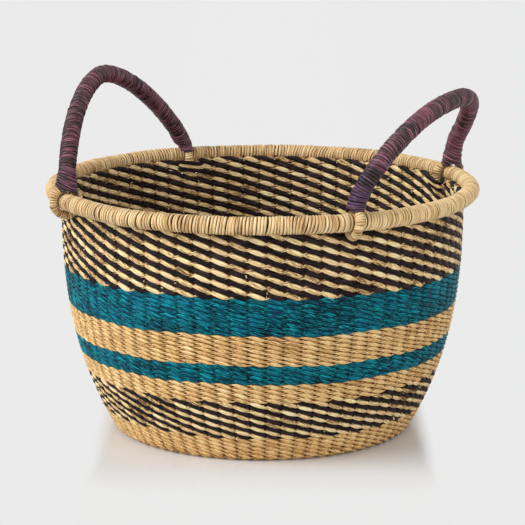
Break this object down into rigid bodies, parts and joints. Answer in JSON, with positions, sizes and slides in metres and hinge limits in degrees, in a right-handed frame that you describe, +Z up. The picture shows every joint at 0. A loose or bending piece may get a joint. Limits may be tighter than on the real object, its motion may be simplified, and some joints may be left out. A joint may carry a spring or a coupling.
{
  "type": "storage basket",
  "caption": "Round open storage basket of twined grass with a rolled, straw-wrapped rim, coloured bands and two arched handles that swing on the rim.",
  "frame": {"origin": "middle of the base, on the surface that the basket stands on", "axes": "+Z up; the two handles stand over +X and -X, each with its feet on the rim at equal +Y and -Y"},
  "size_m": [0.4194, 0.4194, 0.3446],
  "materials": {
    "natural_straw": "twisted elephant-grass straw, undyed, semi-matt, tan with cream and brown strands",
    "striped_straw": "twisted grass straw, undyed and black-brown strands twined in slanting checks, semi-matt",
    "teal_straw": "twisted grass straw dyed teal, uneven from deep blue-green to bright turquoise, slightly glossy",
    "wrapping_straw": "fine undyed straw wound tightly round a core, semi-matt with small glints",
    "purple_straw": "fine straw dyed dark purple with magenta patches, wound tightly, slightly glossy",
    "bundle_grass": "dry grass stems in a tight bundle, hidden under the wrapping, matt"
  },
  "bodies": {
    "basket": {"base_start": "natural_straw", "base_inner_rounds": "natural_straw", "base_middle_rounds": "natural_straw", "base_outer_rounds": "natural_straw", "bottom_natural_band": "natural_straw", "lower_striped_band": "striped_straw", "lower_natural_band": "natural_straw", "narrow_teal_band": "teal_straw", "upper_natural_band": "natural_straw", "wide_teal_band": "teal_straw", "upper_striped_band": "striped_straw", "rim_core": "bundle_grass", "rim_wrap": "wrapping_straw"},
    "right_handle": {"right_handle_core": "bundle_grass", "right_handle_wrap": "purple_straw", "right_front_loop": "wrapping_straw", "right_back_loop": "wrapping_straw"},
    "left_handle": {"left_handle_core": "bundle_grass", "left_handle_wrap": "purple_straw", "left_front_loop": "wrapping_straw", "left_back_loop": "wrapping_straw"}
  },
  "joints": [
    {"name": "right_handle_swing", "type": "hinge", "parent": "basket", "child": "right_handle", "pos_m": [0.14502, 0, 0.23498], "axis": [0, 1, 0], "range_deg": [-32.6, 7.4]},
    {"name": "left_handle_swing", "type": "hinge", "parent": "basket", "child": "left_handle", "pos_m": [-0.1418, 0, 0.23498], "axis": [0, -1, 0], "range_deg": [-18.4, 21.6]}
  ]
}
